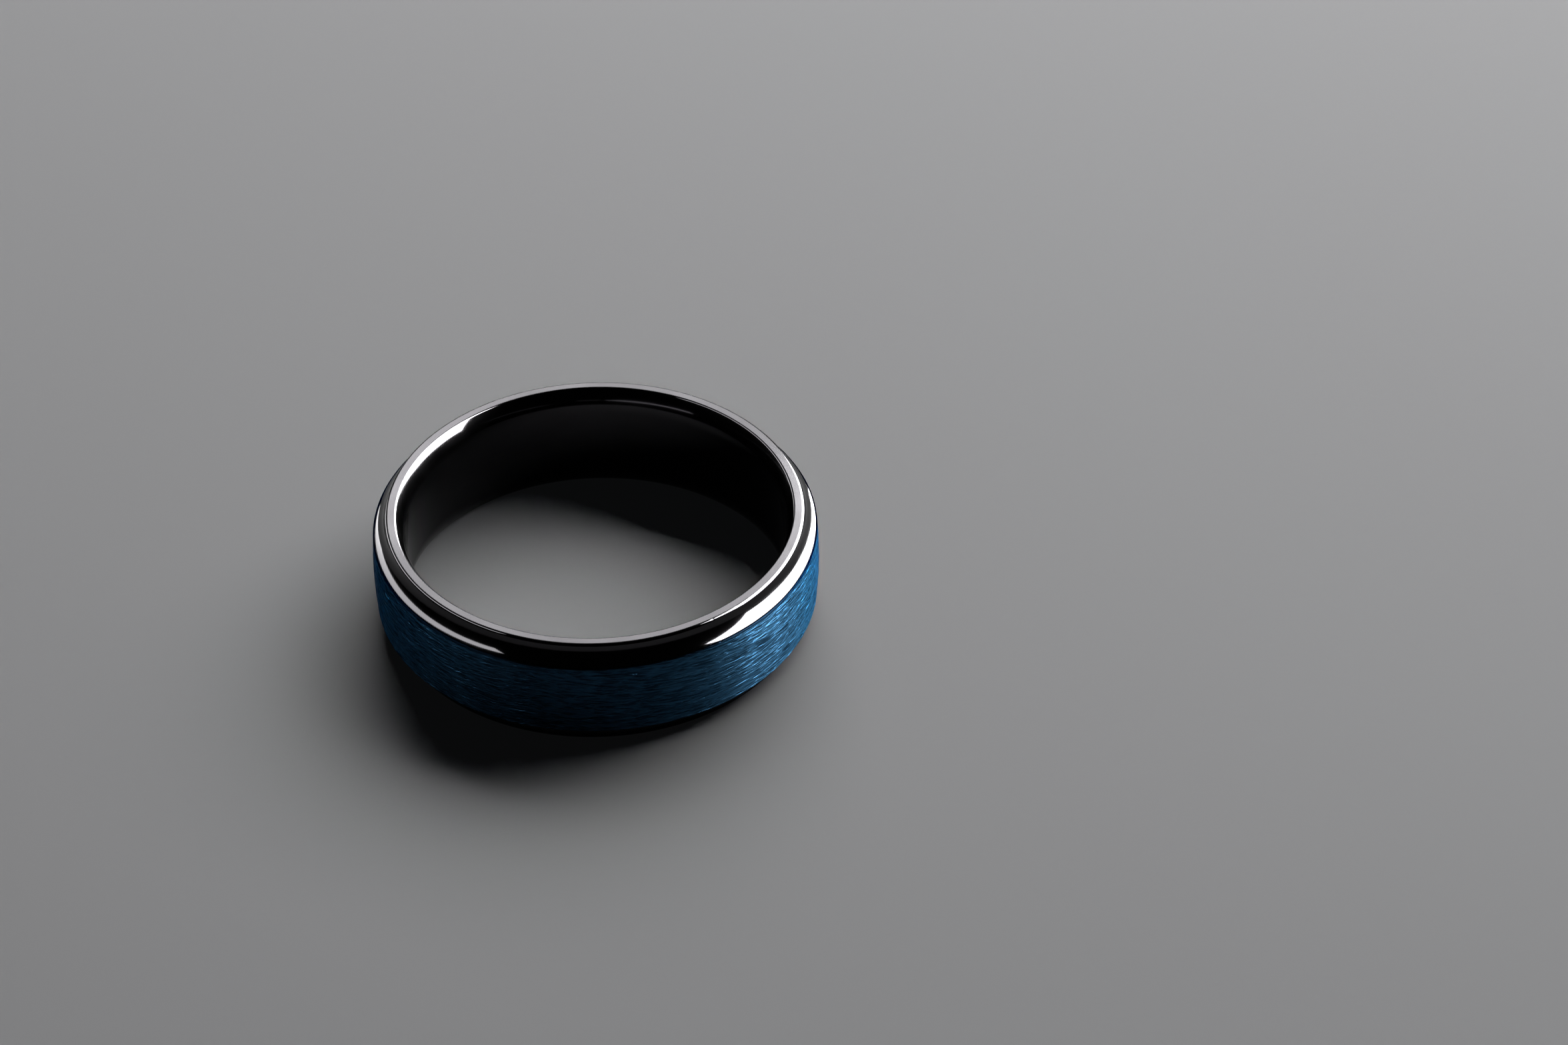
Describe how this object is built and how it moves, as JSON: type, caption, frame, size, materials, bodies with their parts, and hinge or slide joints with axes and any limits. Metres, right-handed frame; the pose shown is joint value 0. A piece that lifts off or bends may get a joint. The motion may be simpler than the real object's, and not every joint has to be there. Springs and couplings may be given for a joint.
{
  "type": "wedding band",
  "caption": "Finger ring with raised polished black rims, hollow-ground steps and a brushed blue hoop over a comfort-fit liner.",
  "frame": {"origin": "centre of the lower rim's plane, on the axis of the bore", "axes": "+Z along the axis of the bore, away from the surface that the band lies on; the band is round, so X and Y are free"},
  "size_m": [0.0224, 0.0224, 0.006],
  "materials": {
    "black_mirror": "mirror polish under a black plating",
    "blue_brushed": "blue plating over fine circumferential brushing",
    "bond_film": "dark cured adhesive"
  },
  "bodies": {
    "root": {"inner_liner": "black_mirror", "hoop_bond": "bond_film", "blue_hoop": "blue_brushed"}
  },
  "joints": []
}
